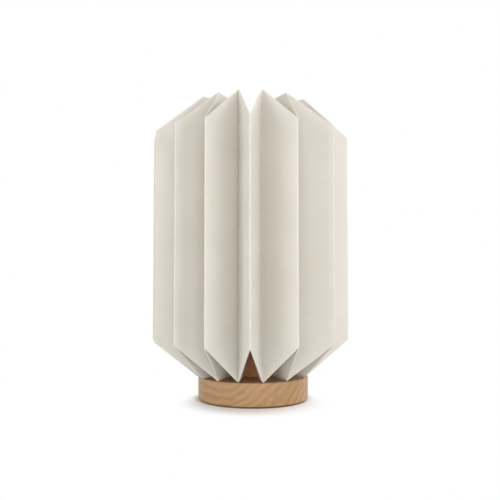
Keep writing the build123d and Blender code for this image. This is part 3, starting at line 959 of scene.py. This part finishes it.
bulbLook = {
    "wall": 1.2,
    "endRound": 4.0,
    "flare": 4.0,               # the collar widens over this height above the holder's mouth
    "neck": 0.4,                # and is this much wider than the cap below it
    "neckRound": 2.5,
    "shoulderRound": 1.5,
    "capWall": 0.8,
    "lipRound": 0.1,
    "threadPitch": 2.82,
    "threadDepth": 0.5,
    "threadStart": 0.8,
    "threadTopMargin": 3.0,
}


def bulbEnvelope():
    radius, bottom, top = turnedSize("bulb_envelope")
    inside, ceiling = radius - bulbLook["wall"], top - bulbLook["wall"]
    corners = [(radius, bottom, crisp), (radius, top, bulbLook["endRound"]), (0, top, 0), (0, ceiling, 0),
               (inside, ceiling, bulbLook["endRound"] - bulbLook["wall"]), (inside, bottom, crisp)]
    return turnedPiece("bulbEnvelope", roundedOutline(corners, steps=10), [opal])


def bulbCollar():
    radius, bottom, top = turnedSize("bulb_collar")
    capRadius, _, capTop = turnedSize("bulb_cap")
    mouth = turnedSize("holder_barrel")[2]
    plug, neck = capRadius - bulbLook["capWall"], capRadius + bulbLook["neck"]
    shoulder = mouth + bulbLook["flare"]
    corners = [(0, bottom, 0), (plug, bottom, 0), (plug, capTop, 0), (neck, capTop, broken),
               (neck, mouth, bulbLook["neckRound"]), (radius, shoulder, bulbLook["shoulderRound"]),
               (radius, top, crisp), (0, top, 0)]
    return turnedPiece("bulbCollar", roundedOutline(corners, steps=8), [whitePlastic])


def bulbCap():
    radius, bottom, top = turnedSize("bulb_cap")
    lip, lipRound = radius - bulbLook["capWall"], bulbLook["lipRound"]
    corners = [(lip, bottom, lipRound), (radius, bottom, rubbed), (radius, top, crisp), (lip, top, lipRound)]
    outline = finely(roundedOutline(corners), step=0.35)
    thread = threadShape(bulbLook, radius, bottom, top)
    return turnedPiece("bulbScrewCap", outline, [nickel], segments=72, shape=thread)


standFor(bulbEnvelope(), "bulb", "opal_plastic", "bulb_envelope")
standFor(bulbCollar(), "bulb", "white_plastic", "bulb_collar")
standFor(bulbCap(), "bulb", "nickel_brass", "bulb_cap")
print("bulb made")


# Small CAD nodes keep their own shape and take these finishes

keptFinishes = {
    "threaded_tube": zincPlate,
    "tube_washer": zincPlate,
    "tube_nut": zincPlate,
    "contact_block": steatite,
    "screw_shell": brass,
    "centre_contact": brass,
    "terminals": brass,
    "terminal_screws": zincPlate,
    "bulb_tip": nickel,
    "bulb_insulator": blackGlass,
    "led_board": solderMask,
}
for nodeName, finish in keptFinishes.items():
    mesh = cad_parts[nodeName].data
    mesh.materials.clear()
    mesh.materials.append(finish)


# Floor, light and camera

studio = {
    "ambient": 0.48,            # what the white surroundings give
    "softboxes": {              # power in watts, degrees round from the front, degrees up
        "leftSoftbox": (5.8, -55, 10),
        "frontSoftbox": (5.2, 0, 18),
        "rightSoftbox": (5.3, 54, 10),
        "rearSoftbox": (9.0, 125, 30),
    },
    "softboxSize": 0.9,         # metres, like the next two
    "softboxReach": 1.4,
    "aimHeight": 0.15,
    "paintedShadows": (                # painted shadow, where the floor turns matt and grey: centre in plan, whole out to, gone by, in millimetres
        ((0, 0), 54, 66),       # close round the base
        ((0, -20), 42, 76),     # further out to the front
    ),
    "floorReach": 4000,
    "floorDrop": 0.05,          # keeps the floor clear of the pad that stands on it
    "floorGrain": 2.0,
    "floorTooth": 0.1,
}


def seenStraight(tree):
    # 1 for rays that come from the camera or off a mirror or through glass, 0 for light on its way
    rays = addNode(tree, "LightPath")
    seen = addNode(tree, "Math", {"operation": "MAXIMUM"},
                   {0: rays.outputs["Is Camera Ray"], 1: rays.outputs["Is Glossy Ray"]})
    return addNode(tree, "Math", {"operation": "MAXIMUM"},
                   {0: seen.outputs["Value"], 1: rays.outputs["Is Transmission Ray"]}).outputs["Value"]


def whiteFloor():
    # white paper sweep: near the lamp it turns matt, which holds the lamp's real shadow but is also grey as
    # a painted shadow round the base and to the front; further out it is plain white
    made, tree, place = newMaterial("whitePaperSweep")
    fades = []
    # inside each ring the floor is matt and grey: painted shadow
    for centre, whole, gone in studio["paintedShadows"]:
        away = addNode(tree, "VectorMath", {"operation": "DISTANCE", 1: Vector(centre).to_3d() * mm},
                       {0: place})
        fade = addNode(tree, "MapRange", {"interpolation_type": "SMOOTHSTEP", "From Min": whole * mm,
                                          "From Max": gone * mm}, {"Value": away.outputs["Value"]})
        fades.append(fade.outputs["Result"])
    faded = addNode(tree, "Math", {"operation": "MINIMUM"}, dict(enumerate(fades)))
    share = addNode(tree, "Math", {"operation": "MULTIPLY"},
                    {0: seenStraight(tree), 1: faded.outputs["Value"]})
    tooth = addNode(tree, "TexNoise", {"Scale": grainOf(studio["floorGrain"])}, {"Vector": place})
    relief = addNode(tree, "Bump", {"Strength": 0.03, "Distance": studio["floorTooth"] * mm},
                     {"Height": tooth.outputs["Fac"]})
    matt = addNode(tree, "BsdfDiffuse", {"Color": linear("#fafafa")}, {"Normal": relief.outputs["Normal"]})
    glow = addNode(tree, "Emission", {"Color": linear("#ffffff"), "Strength": 1.0})
    sweep = addNode(tree, "MixShader",
                    links={0: share.outputs["Value"], 1: matt.outputs[0], 2: glow.outputs[0]})
    clear = addNode(tree, "BsdfTransparent")
    side = addNode(tree, "NewGeometry")      # seen from below, the sweep isn't there
    mixed = addNode(tree, "MixShader",
                    links={0: side.outputs["Backfacing"], 1: sweep.outputs[0], 2: clear.outputs[0]})
    addNode(tree, "OutputMaterial", links={"Surface": mixed.outputs[0]})
    reach = studio["floorReach"]
    corners = [(x, y, -studio["floorDrop"])
               for x, y in ((-reach, -reach), (reach, -reach), (reach, reach), (-reach, reach))]
    floor = makePiece("floor", corners, [(0, 1, 2, 3)], [made])


def whiteWorld():
    world = bpy.data.worlds.new("whiteStudio")
    scene.world = world
    world.use_nodes = True
    tree = world.node_tree
    tree.nodes.clear()
    strength = addNode(tree, "MapRange", {"To Min": studio["ambient"], "To Max": 1},
                       {"Value": seenStraight(tree)})
    sky = addNode(tree, "Background", {"Color": linear("#ffffff")}, {"Strength": strength.outputs["Result"]})
    addNode(tree, "OutputWorld", links={"Surface": sky.outputs[0]})


def softbox(name, power, around, upwards):
    # a square soft light, aimed at the middle of the lamp and not seen itself
    light = bpy.data.lights.new(name, "AREA")
    light.shape, light.size, light.energy = "SQUARE", studio["softboxSize"], power
    lamp = bpy.data.objects.new(name, light)
    around, upwards = math.radians(around), math.radians(upwards)
    towards = Vector((math.sin(around) * math.cos(upwards), -math.cos(around) * math.cos(upwards),
                      math.sin(upwards)))
    lamp.location = Vector((0, 0, studio["aimHeight"])) + towards * studio["softboxReach"]
    lamp.rotation_euler = towards.to_track_quat("Z", "Y").to_euler()
    lamp.visible_camera = False
    scene.collection.objects.link(lamp)


view = {
    "place": (-3.1, -667.0, 117.8),
    "upwards": 2.75,            # degrees above level
    "lens": 47.17,              # gives the photo's perspective on a square picture
    "sensor": 36.0,
}


def camera():
    made = bpy.data.objects.new("camera", bpy.data.cameras.new("camera"))
    made.data.lens, made.data.sensor_width = view["lens"], view["sensor"]
    made.location = Vector(view["place"]) * mm
    made.rotation_euler = (math.radians(90 + view["upwards"]), 0, 0)
    scene.collection.objects.link(made)
    scene.camera = made


whiteFloor()
whiteWorld()
for softboxName, values in studio["softboxes"].items():
    softbox(softboxName, *values)
camera()
scene.view_settings.view_transform = "Standard"
print("studio set")
